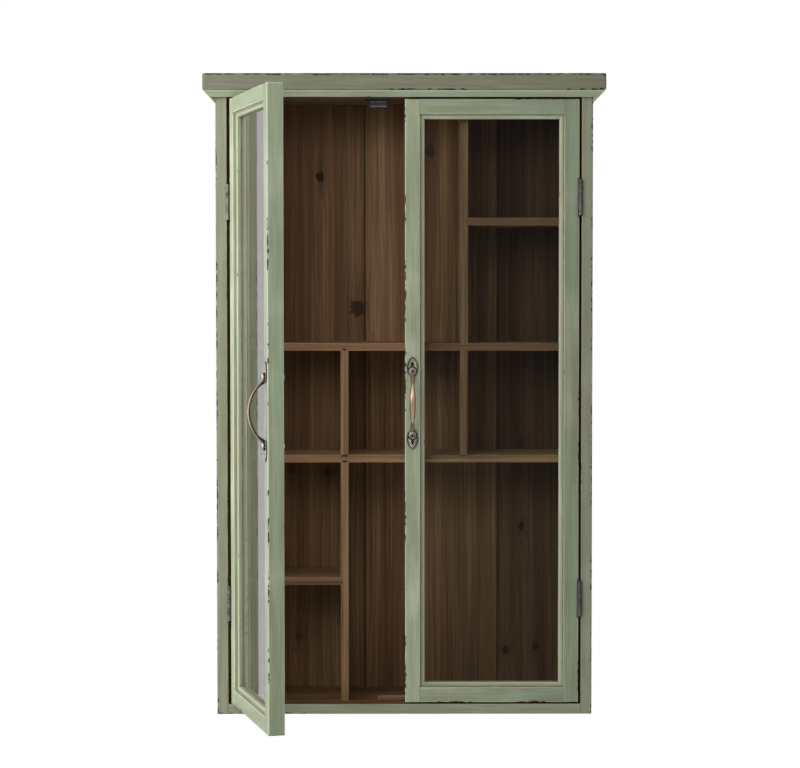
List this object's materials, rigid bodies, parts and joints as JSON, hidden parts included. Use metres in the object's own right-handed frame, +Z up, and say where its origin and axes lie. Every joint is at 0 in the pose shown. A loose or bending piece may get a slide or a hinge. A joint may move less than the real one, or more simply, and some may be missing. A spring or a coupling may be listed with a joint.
{
  "type": "wall display cabinet",
  "caption": "Tall wall-hung display cabinet with a moulded cap, hinged glazed doors in worn painted wood, bow handles, and a stained interior divided by shelves and uprights.",
  "frame": {"origin": "midway between the two keyhole hangers' entry holes, on the plane where the back meets the wall", "axes": "+X right seen from the room, +Y into the wall, +Z up; the front faces -Y"},
  "size_m": [0.6, 0.4244, 0.96],
  "materials": {
    "painted_wood": "sage green paint rubbed through to dark wood along the edges",
    "stained_wood": "dark brown stained fir",
    "clear_glass": "clear",
    "antique_brass": "antique, dark in the hollows",
    "hinge_steel": "dull, aged",
    "zinc_steel": "bright zinc",
    "catch_plastic": "moulded",
    "magnet_ferrite": "sintered"
  },
  "bodies": {
    "carcass": {"left_side": "painted_wood", "right_side": "painted_wood", "top_panel": "stained_wood", "bottom_panel": "painted_wood", "cornice_cap": "painted_wood", "cornice_front_moulding": "painted_wood", "cornice_left_moulding": "painted_wood", "cornice_right_moulding": "painted_wood", "upper_shelf": "stained_wood", "lower_shelf": "stained_wood", "right_cell_shelf": "stained_wood", "left_cell_shelf": "stained_wood", "upper_divider": "stained_wood", "middle_right_divider": "stained_wood", "middle_left_divider": "stained_wood", "lower_divider": "stained_wood", "left_back_board": "stained_wood", "middle_back_board": "stained_wood", "right_back_board": "stained_wood", "back_board_nails": "zinc_steel", "hanging_rail": "stained_wood", "hanger_plates": "zinc_steel", "hanger_screws": "zinc_steel", "door_stop": "stained_wood", "catch_housings": "catch_plastic", "catch_pole_plates": "zinc_steel", "catch_magnets": "magnet_ferrite", "catch_screws": "zinc_steel", "left_frame_hinge_leaves": "hinge_steel", "right_frame_hinge_leaves": "hinge_steel", "frame_leaf_screws": "hinge_steel", "hinge_pins": "hinge_steel"},
    "left_door": {"left_hinge_stile": "painted_wood", "left_meeting_stile": "painted_wood", "left_bottom_rail": "painted_wood", "left_top_rail": "painted_wood", "left_glass_pane": "clear_glass", "left_front_beads": "painted_wood", "left_rear_beads": "painted_wood", "left_handle_grip": "antique_brass", "left_handle_rosettes": "antique_brass", "left_handle_screws": "zinc_steel", "left_door_hinge_leaves": "hinge_steel", "left_door_wood_screws": "hinge_steel", "left_strike_plate": "zinc_steel"},
    "right_door": {"right_hinge_stile": "painted_wood", "right_meeting_stile": "painted_wood", "right_bottom_rail": "painted_wood", "right_top_rail": "painted_wood", "right_glass_pane": "clear_glass", "right_front_beads": "painted_wood", "right_rear_beads": "painted_wood", "right_handle_grip": "antique_brass", "right_handle_rosettes": "antique_brass", "right_handle_screws": "zinc_steel", "right_door_hinge_leaves": "hinge_steel", "right_door_wood_screws": "hinge_steel", "right_strike_plate": "zinc_steel"}
  },
  "joints": [
    {"name": "left_door_hinge", "type": "hinge", "parent": "carcass", "child": "left_door", "pos_m": [-0.26335, -0.1725, -0.43], "axis": [0, 0, -1], "range_deg": [-74.3, 95.7]},
    {"name": "right_door_hinge", "type": "hinge", "parent": "carcass", "child": "right_door", "pos_m": [0.26335, -0.1725, -0.43], "axis": [0, 0, 1], "range_deg": [0, 170]}
  ]
}
